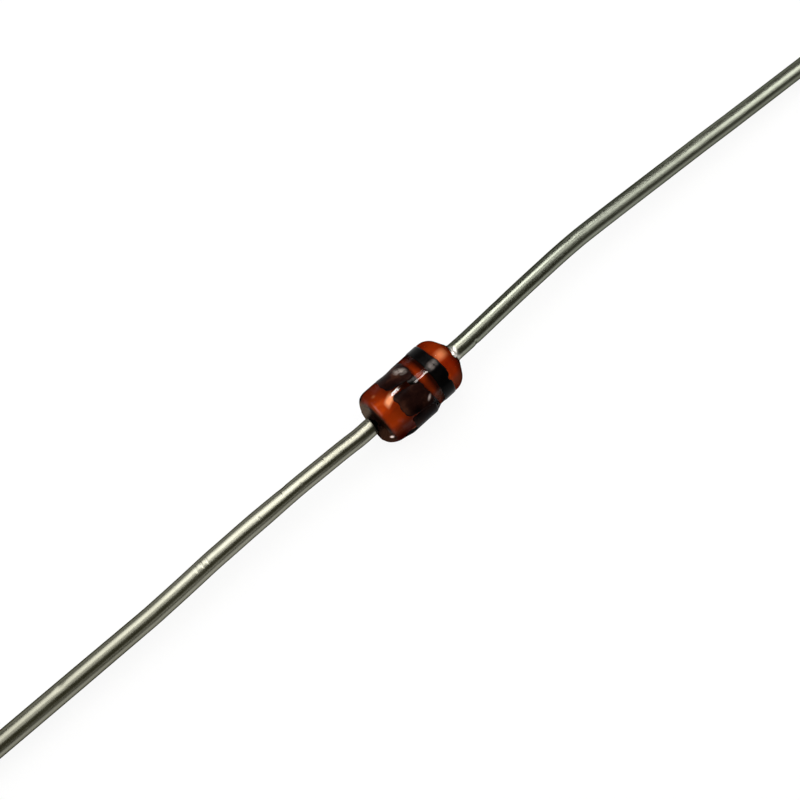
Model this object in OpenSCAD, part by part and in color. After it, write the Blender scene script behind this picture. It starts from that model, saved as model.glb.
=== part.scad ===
// Glass zener diode with two axial wire leads, lying on its body and on the tips of both leads.
// X runs along the axis of the body towards the cathode, and Z is up.
// The origin is on the resting surface, below the middle of the glass.

/* [Glass envelope] */
// Outside diameter of the glass
glass_d = 1.6; // [1.5:0.05:2]
// Length of the glass from end to end
glass_l = 2.85; // [2.7:0.05:4]
// Rounding of the anode end, where the glass has flowed in towards the lead
anode_round_r = 0.45; // [0.25:0.05:0.45]
// Width of the open pocket around the anode lead, at the end of the glass
pocket_d = 0.82; // [0.72:0.02:0.9]
// Rounding of the shoulder at the cathode end
shoulder_r = 0.42; // [0.2:0.02:0.5]
// Slope of the cathode end beyond its shoulder, in degrees from the axis
end_slope = 58; // [50:1:70]
// Width of the rim of glass around the cathode lead
rim_w = 0.02; // [0.01:0.01:0.05]
// Radial gap between each lead and the glass that closes in around it
mouth_gap = 0.06; // [0.05:0.01:0.08]

/* [Studs] */
// Diameter of the two studs that the glass is sealed to
stud_d = 0.92; // [0.76:0.02:1]
// Depth of the anode stud's outer face below the end of the glass
anode_recess = 0.3; // [0.1:0.05:0.4]
// Depth of the cathode stud's outer face below the end of the glass
cathode_recess = 0.15; // [0.12:0.01:0.3]
// Chamfer on the edges of the studs
stud_edge = 0.03; // [0.01:0.01:0.05]

/* [Die] */
// Side of the square silicon die
die_w = 0.42; // [0.3:0.02:0.5]
// Thickness of the die
die_t = 0.16; // [0.1:0.01:0.25]
// Diameter of the silver bump between the die and the anode stud
bump_d = 0.24; // [0.16:0.02:0.28]
// Height of the bump
bump_h = 0.05; // [0.03:0.01:0.08]

/* [Cathode band] */
// Width of the printed band that marks the cathode
band_w = 0.41; // [0.3:0.01:0.6]
// Distance of the band from the start of the cathode shoulder
band_setback = 0.01; // [0:0.01:0.2]
// Thickness of the printed ink
ink_t = 0.02; // [0.01:0.005:0.03]

/* [Leads] */
// Diameter of the lead wire
lead_d = 0.52; // [0.44:0.02:0.56]
// Length of each lead from the bend at the glass to its tip
lead_l = 26; // [20:1:30]
// Radial growth of the weld flash where a lead meets its stud
weld_flash = 0.04; // [0.02:0.01:0.05]
// Length of the weld flash along the lead
weld_l = 0.1; // [0.06:0.01:0.12]
// Straight length before and between the bends at the glass
exit_run = 0.15; // [0.1:0.05:0.4]
// Radius of the bends at the glass, on the axis of the wire
exit_bend_r = 3; // [2:0.5:6]
// Radius of the gentle bends farther out, on the axis of the wire
kink_r = 14; // [8:1:20]

/* [Bends of the cathode lead] */
// Turn at the glass in degrees, positive to the left when seen from above along the lead
cathode_exit_turn = 1.7; // [-4:0.1:4]
// Straight length to the kink
cathode_run = 3.2; // [1:0.1:8]
// Turn at the kink in degrees
cathode_kink = -5.8; // [-8:0.1:8]

/* [Bends of the anode lead] */
// Turn at the glass in degrees, positive to the left when seen from above along the lead
anode_exit_turn = -3.0; // [-4:0.1:4]
// Straight length to the first kink
anode_run_1 = 3.2; // [1:0.1:6]
// Turn at the first kink in degrees
anode_kink_1 = 2.9; // [-8:0.1:8]
// Straight length to the second kink
anode_run_2 = 2.6; // [1:0.1:6]
// Turn at the second kink in degrees
anode_kink_2 = -1.9; // [-8:0.1:8]

/* [Hidden] */
$fn = 96;
glass_r = glass_d / 2;
half_l = glass_l / 2;
stud_r = stud_d / 2;
lead_r = lead_d / 2;
mouth_r = lead_r + mouth_gap;
rim_r = mouth_r + rim_w;

// A bend is thinner than the wire by this much, and reaches this far into the runs beside it
bend_thinning = 0.002;
bend_lap = 0.05;

// The body rests on its printed band
axis_h = glass_r + ink_t;

// Cathode end: an arc from the side of the glass, then a straight slope down to the rim
slope_r = glass_r - shoulder_r * (1 - cos(end_slope));
slope_x = half_l - (slope_r - rim_r) / tan(end_slope);
shoulder_x = slope_x - shoulder_r * sin(end_slope);
band_x = shoulder_x - band_setback - band_w;

// Places of the studs' faces along the axis, with the die and the bump held between the inner ones
anode_face = anode_recess - half_l;
cathode_face = half_l - cathode_recess;
stud_l = (cathode_face - anode_face - die_t - bump_h) / 2;
anode_inner = anode_face + stud_l;
cathode_inner = cathode_face - stud_l;

// A lead's bends, each as the straight run before it, its turn and its radius
cathode_path = [
    [exit_run, cathode_exit_turn, exit_bend_r],
    [cathode_run, cathode_kink, kink_r]
];
anode_path = [
    [exit_run, anode_exit_turn, exit_bend_r],
    [anode_run_1, anode_kink_1, kink_r],
    [anode_run_2, anode_kink_2, kink_r]
];

function sum(list, i = 0) = i < len(list) ? list[i] + sum(list, i + 1) : 0;

// Direction of a lead before its bend number n
function heading(path, n) = sum([for (i = [0:1:n - 1]) path[i][1]]);

// Straight length from the last bend of a lead to its tip
function tail_l(path) = lead_l - sum([for (b = path) b[0] + b[2] * abs(b[1]) * PI / 180]);

// How far a lead reaches straight out, from the bend at the glass to its tip
function reach(path) = tail_l(path) * cos(heading(path, len(path))) + sum([
    for (i = [0:len(path) - 1])
        let (from = heading(path, i), to = heading(path, i + 1), b = path[i])
            b[0] * cos(from) + sign(b[1]) * b[2] * (sin(to) - sin(from))
]);

// Downward turn at the glass that brings the underside of the tip to the resting surface
function droop(path) =
    let (out = reach(path), down = lead_r - exit_bend_r)
        asin((axis_h - exit_bend_r) / norm([out, down])) - atan2(down, out);

// Lifts a piece to the axis of the body
module raised() {
    translate([0, 0, axis_h]) children();
}

// Lays a piece made along Z onto the axis of the body
module on_axis() {
    raised() rotate([0, 90, 0]) children();
}

// Outside of the glass as a half section, with the radius to the right and the cathode end up
module glass_outline() {
    intersection() {
        translate([0, -half_l]) square([glass_r, glass_l]);
        union() {
            polygon([
                [0, -half_l],
                [glass_r - anode_round_r, -half_l],
                [glass_r, anode_round_r - half_l],
                [glass_r, shoulder_x],
                [slope_r, slope_x],
                [rim_r, half_l],
                [0, half_l]
            ]);
            translate([glass_r - anode_round_r, anode_round_r - half_l]) circle(anode_round_r);
            translate([glass_r - shoulder_r, shoulder_x]) circle(shoulder_r);
        }
    }
}

// Inside of the glass: a bore for the studs, a mouth at each end and the flared pocket at the anode
module glass_hollow() {
    translate([0, anode_face]) square([stud_r, cathode_face - anode_face]);
    translate([0, -half_l]) square([mouth_r, glass_l]);
    polygon([
        [0, -half_l],
        [pocket_d / 2, -half_l],
        [mouth_r, anode_face],
        [0, anode_face]
    ]);
}

module glass_envelope() {
    color([0.80, 0.84, 0.82, 0.4])
    on_axis() rotate_extrude() difference() {
        glass_outline();
        glass_hollow();
    }
}

// Stud with chamfered edges, from one face along Z
module stud() {
    rotate_extrude() polygon([
        [0, 0],
        [stud_r - stud_edge, 0],
        [stud_r, stud_edge],
        [stud_r, stud_l - stud_edge],
        [stud_r - stud_edge, stud_l],
        [0, stud_l]
    ]);
}

module anode_stud() {
    color([0.72, 0.27, 0.10])
    on_axis() translate([0, 0, anode_face]) stud();
}

module cathode_stud() {
    color([0.66, 0.22, 0.08])
    on_axis() translate([0, 0, cathode_inner]) stud();
}

module silicon_die() {
    color([0.30, 0.31, 0.34])
    raised() translate([cathode_inner - die_t, -die_w / 2, -die_w / 2]) cube([die_t, die_w, die_w]);
}

// Bump with a round rim, squeezed between the die and the anode stud
module contact_bump() {
    color([0.85, 0.85, 0.86])
    on_axis() translate([0, 0, anode_inner]) rotate_extrude() {
        square([bump_d / 2 - bump_h / 2, bump_h]);
        intersection() {
            square([bump_d / 2, bump_h]);
            translate([bump_d / 2 - bump_h / 2, bump_h / 2]) circle(d = bump_h);
        }
    }
}

module cathode_band() {
    color([0.05, 0.05, 0.05])
    on_axis() rotate_extrude() translate([glass_r, band_x]) square([ink_t, band_w]);
}

// Straight wire along X
module run(length) {
    rotate([0, 90, 0]) cylinder(r = lead_r, h = length);
}

// Bent wire that starts along X and turns towards Y, or away from it for a negative turn.
// It is a hair thinner than the straight wire, and its ends are set into the runs beside it.
module bend(turn, radius) {
    lap_angle = bend_lap / radius * 180 / PI;
    start = (turn > 0 ? -90 : 90 - abs(turn)) - lap_angle;
    translate([0, sign(turn) * radius, 0]) rotate([0, 0, start])
        rotate_extrude(angle = abs(turn) + 2 * lap_angle) translate([radius, 0]) circle(lead_r - bend_thinning);
}

// Carries what follows to the end of a bend
module past_bend(turn, radius) {
    translate([radius * sin(abs(turn)), sign(turn) * radius * (1 - cos(turn)), 0])
        rotate([0, 0, turn]) children();
}

// Runs and bends of a lead from bend number i to its tip
module bent_wire(path, i = 0) {
    if (i == len(path)) {
        run(tail_l(path));
    } else {
        run(path[i][0]);
        translate([path[i][0], 0, 0]) {
            bend(path[i][1], path[i][2]);
            past_bend(path[i][1], path[i][2]) bent_wire(path, i + 1);
        }
    }
}

// Lead along X from its weld on a stud that sits a recess deep in the glass
module lead(recess, path) {
    straight = recess + exit_run;
    rotate([0, 90, 0]) cylinder(r1 = lead_r + weld_flash, r2 = lead_r, h = weld_l);
    run(straight);
    translate([straight, 0, 0]) rotate([-90, 0, 0]) {
        bend(droop(path), exit_bend_r);
        past_bend(droop(path), exit_bend_r) rotate([90, 0, 0]) bent_wire(path);
    }
}

module anode_lead() {
    color([0.76, 0.76, 0.70])
    raised() translate([anode_face, 0, 0]) rotate([0, 0, 180]) lead(anode_recess, anode_path);
}

module cathode_lead() {
    color([0.76, 0.76, 0.70])
    raised() translate([cathode_face, 0, 0]) lead(cathode_recess, cathode_path);
}

glass_envelope();
anode_stud();
cathode_stud();
silicon_die();
contact_bump();
anode_lead();
cathode_lead();
cathode_band();
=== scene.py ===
"""Looks of a small glass zener diode: glass sleeve, copper-red studs, die, ink band and tinned leads."""

import math
from typing import Callable, NamedTuple

import bmesh
import bpy
from mathutils import Matrix, Vector, noise

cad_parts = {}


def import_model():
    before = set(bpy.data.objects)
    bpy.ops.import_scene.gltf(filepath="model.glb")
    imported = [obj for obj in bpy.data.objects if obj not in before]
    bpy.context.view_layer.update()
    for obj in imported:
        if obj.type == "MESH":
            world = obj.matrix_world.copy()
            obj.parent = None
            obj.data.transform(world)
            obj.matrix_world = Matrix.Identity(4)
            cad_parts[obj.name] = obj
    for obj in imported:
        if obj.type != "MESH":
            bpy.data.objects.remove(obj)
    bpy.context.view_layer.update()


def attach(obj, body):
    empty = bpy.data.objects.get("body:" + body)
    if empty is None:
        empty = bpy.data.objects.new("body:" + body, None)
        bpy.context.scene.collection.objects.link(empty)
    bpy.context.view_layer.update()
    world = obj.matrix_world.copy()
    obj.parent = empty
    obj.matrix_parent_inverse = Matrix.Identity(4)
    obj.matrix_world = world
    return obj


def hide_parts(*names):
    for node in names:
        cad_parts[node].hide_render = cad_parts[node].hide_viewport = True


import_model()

MM = 0.001

# Glass, in millimetres
GLASS_R = 0.8
HALF_L = 1.425
ANODE_ROUND = 0.45
POCKET_R = 0.41
POCKET_SETBACK = 0.01
SHOULDER_R = 0.42
END_SLOPE = math.radians(58)
MOUTH_R = 0.32
MOUTH_DEPTHS = (0.03, 0.04)
RIM_R = 0.34
RIM_RISE = 0.02
RIM_SETBACK = 0.014
RIM_LIP_R = 0.016
LIP_R = 0.05
LIP_BLEND = 0.004

# Unevenness of the drawn glass: how much, and between which places along it, in millimetres
EVEN_WALL = 0.02
NARROWING = 0.02
NARROW_FROM = (0.1, 0.36)
BULGE = 0.066
BULGE_REACH = (-1.05, -0.66, 0.08, 0.38)
DIP = 0.02
DIP_AT = -0.32
DIP_REACH = 0.22
ASKEW_SHIFT = 0.012
ASKEW_TILT = 0.038
ASKEW_TO = (-1.40, -1.12)

# Ripples of the drawn glass: height in millimetres, waves round it, twist along it and start
RIPPLES = ((0.003, 3, 0.8, 0), (0.002, 5, -1.3, 1))

# Studs and die, in millimetres
STUD_R = 0.46
STUD_EDGE = 0.03
STUD_HUB = 0.06
ANODE_RECESS = 0.3
CATHODE_RECESS = 0.15
SEAL_LAP = 0.006
DIE_W = 0.42
DIE_T = 0.16
DIE_BEVEL = 0.012
BUMP_R = 0.12
BUMP_H = 0.05

# Band and ink, in millimetres
BAND_W = 0.41
BAND_SETBACK = 0.01
BAND_SLACK = 0.005
BAND_START_IN = 0.012
BAND_END_IN = 0.014
INK_T = 0.02
INK_SINK = 0.004

# Where the band's edges run in or out: how far in millimetres, and where in degrees round the glass
START_STEP = 0.02
START_STEP_AT = (100, 140, 200, 240)
END_STEP = 0.035
END_STEP_AT = (121, 129, 200, 240)
END_TOOTH = 0.02
END_TOOTH_AT = (111, 10)
END_NOTCH = 0.05
END_NOTCH_AT = (131, 6)
FAR_STEP = 0.05
FAR_TO = (66, 94)
FAR_FROM = (290, 350)

# Plain ink blocks: name, ends along the glass in millimetres, ends round it and skew in degrees
MARKS = (
    ("mark_block_1", -0.635, 0.185, 20, 77, 5.5),
    ("mark_block_2", -0.655, 0.185, 88, 140.5, 6),
    ("mark_block_3", -0.595, 0.165, 141.5, 178, 4),
)
BLOCK_T = INK_T * 0.6
BLOCK_FILM = 0.001
BLOCK_FLAT = 0.92
CORNER_CUT = 0.14
CORNER_POWER = 9

# Ragged edges of the blocks: height as a share of the half size, frequency and layer of the noise
WORN_ENDS = ((0.14, 1.6, 0.0), (0.07, 6, 2.0))
FRAYED_SIDES = ((0.08, 1.8, 4.0), (0.04, 7, 6.0))

# Leads, in millimetres and degrees
LEAD_R = 0.26
LEAD_L = 26
WELD_FLASH = 0.04
WELD_L = 0.1
EXIT_RUN = 0.15
EXIT_BEND_R = 3
KINK_R = 14
BEAD_AT = 0.15
BEAD_W = 0.06
TIP_L = 0.05
TIP_ROUND = 0.035
TIP_RINGS = (TIP_L, 0.035, 0.02, 0.01, 0.004, 0)
DRAWN_LUMPS = 0.0012
UNEVEN_TO = (14, 20)
CATHODE_BENDS = ((EXIT_RUN, 1.7, EXIT_BEND_R), (3.2, -5.8, KINK_R))
ANODE_BENDS = ((EXIT_RUN, -3.0, EXIT_BEND_R), (3.2, 2.9, KINK_R), (2.6, -1.9, KINK_R))

# Dents: distance along the lead, angle round it, depth, and reach along and round; deep ones hold dirt
DIRT_DEPTH = 0.02
DIRT_SHIFT = 10
CATHODE_DENTS = (
    (0.86, 14, 0.030, 0.045, 26),
    (2.10, 150, 0.012, 0.12, 20),
    (4.70, 128, 0.010, 0.16, 22),
    (5.30, 104, 0.004, 0.16, 22),
    (9.40, 96, 0.006, 0.18, 22),
)
ANODE_DENTS = (
    (1.79, 70, 0.005, 0.03, 14),
    (2.64, 95, 0.005, 0.03, 12),
    (3.10, 20, 0.012, 0.12, 18),
    (3.14, 68, 0.005, 0.03, 14),
    (3.98, 95, 0.004, 0.03, 12),
    (5.62, 76, 0.006, 0.03, 26),
    (5.78, 74, 0.007, 0.03, 24),
    (5.96, 77, 0.005, 0.04, 26),
    (10.2, 70, 0.009, 0.14, 18),
)

# Painted highlight and painted edge shade of the leads, and their burnt root: where in degrees round them
# from +Y, and how it fades along them
SHINE_AT = (92, 24)
SIDE_SHINE_AT = (140, 26)
SIDE_SHINE = 0.3
EDGE_SHADE_AT = (45, 14)
EDGE_SHADE_FULL = 0.7
BURNT_FADE = (0.1, 0.02)

# Droplet of tin at the cathode end, in millimetres and degrees; its lumps are a share of its size
DROPLET_X = 1.385
DROPLET_R = 0.41
DROPLET_TURN = 103
DROPLET_SIZE = (0.11, 0.10, 0.06)
DROPLET_LUMPS = 0.12
LUMP_SCALE = 1.3
LUMP_PLACE = Vector((3, 1, 7))

# Sizes that follow from these
AXIS_H = GLASS_R + INK_T
SLOPE_R = GLASS_R - SHOULDER_R * (1 - math.cos(END_SLOPE))
SLOPE_X = HALF_L - (SLOPE_R - RIM_R) / math.tan(END_SLOPE)
SHOULDER_X = SLOPE_X - SHOULDER_R * math.sin(END_SLOPE)
BAND_X = SHOULDER_X - BAND_SETBACK - BAND_W
ANODE_FACE = ANODE_RECESS - HALF_L
CATHODE_FACE = HALF_L - CATHODE_RECESS
STUD_L = (CATHODE_FACE - ANODE_FACE - DIE_T - BUMP_H) / 2
ANODE_INNER = ANODE_FACE + STUD_L
CATHODE_INNER = CATHODE_FACE - STUD_L

# Mesh steps, as counts, and how many reaches of a dent have finer rings
GLASS_STEPS = 160
STUD_STEPS = 128
BUMP_STEPS = 64
BAND_STEPS = 288
BAND_ROWS = 14
BLOCK_ROWS = 48
WIRE_STEPS = 56
DROOP_STEPS = 3
DENT_SPREAD = 3
DENT_RINGS = 4

# Mesh steps, in millimetres
OUTSIDE_STEP = 0.03
MOUTH_STEP = 0.04
BORE_STEP = 0.06
STUD_STEP = 0.05
ROOT_STEP = 0.012
WIRE_STEP = 0.06


def smooth(low, high, value):
    """0 below low, 1 above high and an S curve between them."""
    t = max(0.0, min(1.0, (value - low) / (high - low)))
    return t * t * (3 - 2 * t)


def bell(value, middle, width):
    """1 at the middle, falling to nearly 0 two widths away."""
    return math.exp(-(((value - middle) / width) ** 2))


def window(low, full, rest, high, value):
    """1 from full to rest, falling to 0 at low and at high."""
    return smooth(low, full, value) * (1 - smooth(rest, high, value))


def arc(centre, radius, start, end, steps):
    """Points (x, r) of an arc in the half section, angles in degrees from the X axis."""
    found = []
    for i in range(steps + 1):
        a = math.radians(start + (end - start) * i / steps)
        found.append((centre[0] + radius * math.cos(a), centre[1] + radius * math.sin(a)))
    return found


def spaced(points, step):
    """The same outline with points no farther apart than step."""
    found = [points[0]]
    for (x0, r0), (x1, r1) in zip(points, points[1:]):
        n = max(1, math.ceil(math.hypot(x1 - x0, r1 - r0) / step))
        found += [(x0 + (x1 - x0) * i / n, r0 + (r1 - r0) * i / n) for i in range(1, n + 1)]
    return found


def finish_piece(name, bm, material, node):
    """Turns a mesh in millimetres into a smooth piece that stands for a CAD node, where it has one."""
    bmesh.ops.recalc_face_normals(bm, faces=bm.faces)
    bm.transform(Matrix.Scale(MM, 4))
    mesh = bpy.data.meshes.new(name)
    bm.to_mesh(mesh)
    bm.free()
    mesh.shade_smooth()
    mesh.materials.append(material)
    piece = bpy.data.objects.new(name, mesh)
    bpy.context.scene.collection.objects.link(piece)
    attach(piece, "root")
    if node:
        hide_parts(node)


def skin(bm, rings, loop):
    """Faces between rings of vertices; loop closes the last ring onto the first."""
    pairs = list(zip(rings, rings[1:]))
    if loop:
        pairs.append((rings[-1], rings[0]))
    for a, b in pairs:
        if len(a) == 1 and len(b) == 1:
            continue
        n = max(len(a), len(b))
        for i in range(n):
            j = (i + 1) % n
            corners = [a[i % len(a)], a[j % len(a)], b[j % len(b)], b[i % len(b)]]
            bm.faces.new(list(dict.fromkeys(corners)))


def ring_point(x, r, angle):
    """A point around the axis of the body; angle 0 is +Y and 90 degrees is up."""
    return Vector((x, r * math.cos(angle), AXIS_H + r * math.sin(angle)))


def lathe(profile, steps, loop=False, shape=None):
    """A mesh turned round the axis of the body; shape(x, r, angle) may move a point along and out."""
    bm = bmesh.new()
    rings = []
    for x, r in profile:
        if r == 0:
            rings.append([bm.verts.new(ring_point(x, 0, 0))])
            continue
        ring = []
        for i in range(steps):
            angle = 2 * math.pi * i / steps
            at = shape(x, r, angle) if shape else (x, r)
            ring.append(bm.verts.new(ring_point(*at, angle)))
        rings.append(ring)
    skin(bm, rings, loop)
    return bm


# Glass envelope
def hollow_of(x, angle):
    """How far the drawn glass lies inside its full radius, in millimetres.

    It bulges on one side near the anode, narrows there towards the cathode and dips on the other side.
    """
    low_right = smooth(0.15, 1.0, -math.cos(angle))
    upper_left = max(0.0, math.cos(angle)) ** 4
    narrow = NARROWING * smooth(*NARROW_FROM, x) * low_right
    bulge = BULGE * window(*BULGE_REACH, x) * low_right
    dip = DIP * bell(x, DIP_AT, DIP_REACH) * upper_left
    ripple = sum(h * (1 + math.sin(waves * angle + twist * x + start)) for h, waves, twist, start in RIPPLES)
    return narrow - bulge + dip + ripple


def on_glass(x, angle, rise):
    """A point above the outside of the glass, or below it where rise is negative."""
    return ring_point(x, GLASS_R - hollow_of(x, angle) + rise, angle)


def glass_shape(x, r, angle):
    """A point of the glass with the unevenness of drawn tube and its anode end a little askew."""
    share = smooth(STUD_R + EVEN_WALL, GLASS_R, r)
    askew = (ASKEW_SHIFT + ASKEW_TILT * math.cos(angle)) * (1 - smooth(*ASKEW_TO, x))
    return x + askew, r - hollow_of(x, angle) * share


def without_repeats(points):
    """The same outline without points that lie on the one before."""
    found = [points[0]]
    for p in points[1:]:
        if math.dist(p, found[-1]) > 1e-5:
            found.append(p)
    return found


def glass_profile():
    """Closed half section (x, r): the outside from anode lip to cathode rim, then back along the bore."""
    corner = (ANODE_ROUND - HALF_L, GLASS_R - ANODE_ROUND)
    lip_x = corner[0] - math.sqrt(ANODE_ROUND ** 2 - (POCKET_R - corner[1]) ** 2)
    lip = (lip_x + LIP_R, POCKET_R + LIP_R)
    start = math.degrees(math.atan2(POCKET_R + 2 * LIP_R - corner[1], lip_x + LIP_BLEND - corner[0]))
    shoulder = (SHOULDER_X, GLASS_R - SHOULDER_R)
    slope_end = (HALF_L - RIM_SETBACK, RIM_R + RIM_RISE)
    bore = STUD_R - SEAL_LAP
    anode_seal = ANODE_FACE + SEAL_LAP
    cathode_seal = CATHODE_FACE - SEAL_LAP
    mouth = [(HALF_L - depth, MOUTH_R) for depth in MOUTH_DEPTHS]
    outline_shade = arc(lip, LIP_R, 270, 180, 6)
    outline_shade += arc(corner, ANODE_ROUND, start, 90, 40)
    outline_shade += spaced([(corner[0], GLASS_R), (SHOULDER_X, GLASS_R)], OUTSIDE_STEP)
    outline_shade += arc(shoulder, SHOULDER_R, 90, 90 - math.degrees(END_SLOPE), 36)
    outline_shade += spaced([(SLOPE_X, SLOPE_R), slope_end], OUTSIDE_STEP)
    outline_shade += arc((HALF_L - RIM_LIP_R, RIM_R), RIM_LIP_R, 40, -60, 6)
    outline_shade += spaced([*mouth, (cathode_seal, MOUTH_R)], MOUTH_STEP)
    outline_shade += spaced([(cathode_seal, bore), (anode_seal, bore)], BORE_STEP)
    outline_shade += spaced([(anode_seal, MOUTH_R), (lip_x + LIP_R + POCKET_SETBACK, POCKET_R)], MOUTH_STEP)
    return without_repeats(outline_shade)


def glass_envelope(material):
    bm = lathe(glass_profile(), GLASS_STEPS, loop=True, shape=glass_shape)
    finish_piece("glass_sleeve", bm, material, "glass_envelope")


# Studs
def stud(name, start, end, material, node):
    edge = STUD_EDGE
    profile = [(start, 0)] + spaced([(start, STUD_HUB), (start, STUD_R - edge)], STUD_STEP)
    profile += arc((start + edge, STUD_R - edge), edge, 180, 90, 6)[1:]
    profile += spaced([(start + edge, STUD_R), (end - edge, STUD_R)], STUD_STEP)[1:]
    profile += arc((end - edge, STUD_R - edge), edge, 90, 0, 6)[1:]
    profile += spaced([(end, STUD_R - edge), (end, STUD_HUB)], STUD_STEP)[1:] + [(end, 0)]
    finish_piece(name, lathe(profile, STUD_STEPS), material, node)


# Die and bump
def silicon_die(material):
    bm = bmesh.new()
    bmesh.ops.create_cube(bm, size=1)
    bmesh.ops.scale(bm, vec=(DIE_T, DIE_W, DIE_W), verts=bm.verts)
    bmesh.ops.translate(bm, vec=(CATHODE_INNER - DIE_T / 2, 0, AXIS_H), verts=bm.verts)
    bmesh.ops.bevel(bm, geom=bm.edges[:], offset=DIE_BEVEL, segments=3, profile=0.5, affect="EDGES")
    finish_piece("silicon_chip", bm, material, "silicon_die")


def contact_bump(material):
    flat = BUMP_R - BUMP_H / 2
    profile = [(ANODE_INNER, 0), (ANODE_INNER, flat / 2)]
    profile += arc((ANODE_INNER + BUMP_H / 2, flat), BUMP_H / 2, 180, 0, 14)
    profile += [(ANODE_INNER + BUMP_H, flat / 2), (ANODE_INNER + BUMP_H, 0)]
    finish_piece("silver_bump", lathe(profile, BUMP_STEPS), material, "contact_bump")


# Printed band
def band_edges(angle):
    """Where the band starts and ends along the axis at an angle round the glass, with its ragged edges."""
    fine = noise.noise(Vector((math.cos(angle) * 6, math.sin(angle) * 6, 1.7)))
    rough = noise.noise(Vector((math.cos(angle) * 2.2, math.sin(angle) * 2.2, 5.1)))
    turn = math.degrees(angle) % 360
    start = BAND_X + BAND_START_IN + 0.008 * fine + 0.012 * rough
    start -= START_STEP * window(*START_STEP_AT, turn)
    end = BAND_X + BAND_W - BAND_END_IN - 0.010 * fine + 0.010 * rough
    end += END_TOOTH * bell(turn, *END_TOOTH_AT)
    end -= FAR_STEP * (1 - smooth(*FAR_TO, turn) + smooth(*FAR_FROM, turn))
    end -= END_STEP * window(*END_STEP_AT, turn) + END_NOTCH * bell(turn, *END_NOTCH_AT)
    return start, end


def band_rise(share):
    """Height of the ink at a share of the band's width: flat, with rounded edges."""
    rounded = math.sqrt(max(0.0, 1 - abs(2 * share - 1) ** 8))
    return (INK_T - BAND_SLACK) * min(1.0, rounded + 0.05)


def cathode_band(material):
    bm = bmesh.new()
    rings = []
    for i in range(BAND_STEPS):
        angle = 2 * math.pi * i / BAND_STEPS
        start, end = band_edges(angle)
        top = [(j, band_rise(j / BAND_ROWS)) for j in range(BAND_ROWS + 1)]
        under = [(j, -INK_SINK) for j in (BAND_ROWS, BAND_ROWS // 2, 0)]
        ring = []
        for j, rise in top + under:
            x = start + (end - start) * j / BAND_ROWS
            ring.append(bm.verts.new(on_glass(x, angle, rise)))
        rings.append(ring)
    skin(bm, rings, loop=True)
    finish_piece("ink_band", bm, material, "cathode_band")


# Plain printed blocks
def ragged(at, seed, waves):
    """How far an edge of a block strays at a place along it."""
    return sum(height * noise.noise(Vector((often * at, seed, layer))) for height, often, layer in waves)


def block_point(block, u, v, rise):
    """A point of a block, skewed along the glass; u and v run from -1 to 1 along the glass and round it."""
    x0, x1, turn0, turn1, skew = block
    seed = 9 * turn0
    along = u * (1 - CORNER_CUT * abs(v) ** CORNER_POWER) * (1 + ragged(v, seed, WORN_ENDS) * abs(u))
    across = v * (1 - CORNER_CUT * abs(u) ** CORNER_POWER) * (1 + ragged(u, seed, FRAYED_SIDES) * abs(v))
    x = (x0 + x1) / 2 + (x1 - x0) / 2 * along
    turn = (turn0 + turn1) / 2 + (turn1 - turn0) / 2 * across
    return on_glass(x, math.radians(turn + skew * u), rise)


def block_rise(u, v):
    """Height of a block's ink: flat, and thin at its edges."""
    return BLOCK_T * (1 - smooth(BLOCK_FLAT, 1.0, max(abs(u), abs(v)))) + BLOCK_FILM


def rim_of(grid):
    """The vertices round the edge of a grid, in order."""
    right = [line[-1] for line in grid[1:]]
    left = [line[0] for line in grid[-2:0:-1]]
    return grid[0] + right + grid[-1][-2::-1] + left


def mark_block(name, block, material):
    """A plain block of thin ink on the glass, with uneven edges."""
    bm = bmesh.new()
    steps = [2 * i / BLOCK_ROWS - 1 for i in range(BLOCK_ROWS + 1)]
    rims = []
    for top in (True, False):
        grid = []
        for v in steps:
            rises = [block_rise(u, v) if top else -INK_SINK for u in steps]
            grid.append([bm.verts.new(block_point(block, u, v, rise)) for u, rise in zip(steps, rises)])
        for a, b in zip(grid, grid[1:]):
            for j in range(BLOCK_ROWS):
                bm.faces.new((a[j], a[j + 1], b[j + 1], b[j]))
        rims.append(rim_of(grid))
    skin(bm, rims, loop=False)
    finish_piece(name, bm, material, None)


# Line of a lead
def heading(bends, count):
    return math.radians(sum(b[1] for b in bends[:count]))


def tail_length(bends):
    return LEAD_L - sum(run + radius * math.radians(abs(turn)) for run, turn, radius in bends)


def level_path(bends):
    """Points (out, left, heading) of the wire beyond its droop, in the plane of the bends."""
    u = v = h = 0.0
    found = [(u, v, h)]
    for run, turn, radius in list(bends) + [(tail_length(bends), 0, 1)]:
        n = max(1, math.ceil(run / WIRE_STEP))
        for i in range(1, n + 1):
            found.append((u + run * i / n * math.cos(h), v + run * i / n * math.sin(h), h))
        u, v, h = found[-1]
        side, sweep = math.copysign(1, turn), math.radians(turn)
        n = math.ceil(radius * abs(sweep) / WIRE_STEP)
        for i in range(1, n + 1):
            a = h + sweep * i / n
            found.append((
                u + side * radius * (math.sin(a) - math.sin(h)),
                v - side * radius * (math.cos(a) - math.cos(h)),
                a,
            ))
        u, v, h = found[-1]
    return found


def droop_of(bends):
    """Downward turn at the glass that brings the underside of the tip to the floor."""
    out = tail_length(bends) * math.cos(heading(bends, len(bends)))
    for i, (run, turn, radius) in enumerate(bends):
        a, b = heading(bends, i), heading(bends, i + 1)
        out += run * math.cos(a) + math.copysign(radius, turn) * (math.sin(b) - math.sin(a))
    down = LEAD_R - EXIT_BEND_R
    return math.asin((AXIS_H - EXIT_BEND_R) / math.hypot(out, down)) - math.atan2(down, out)


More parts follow.
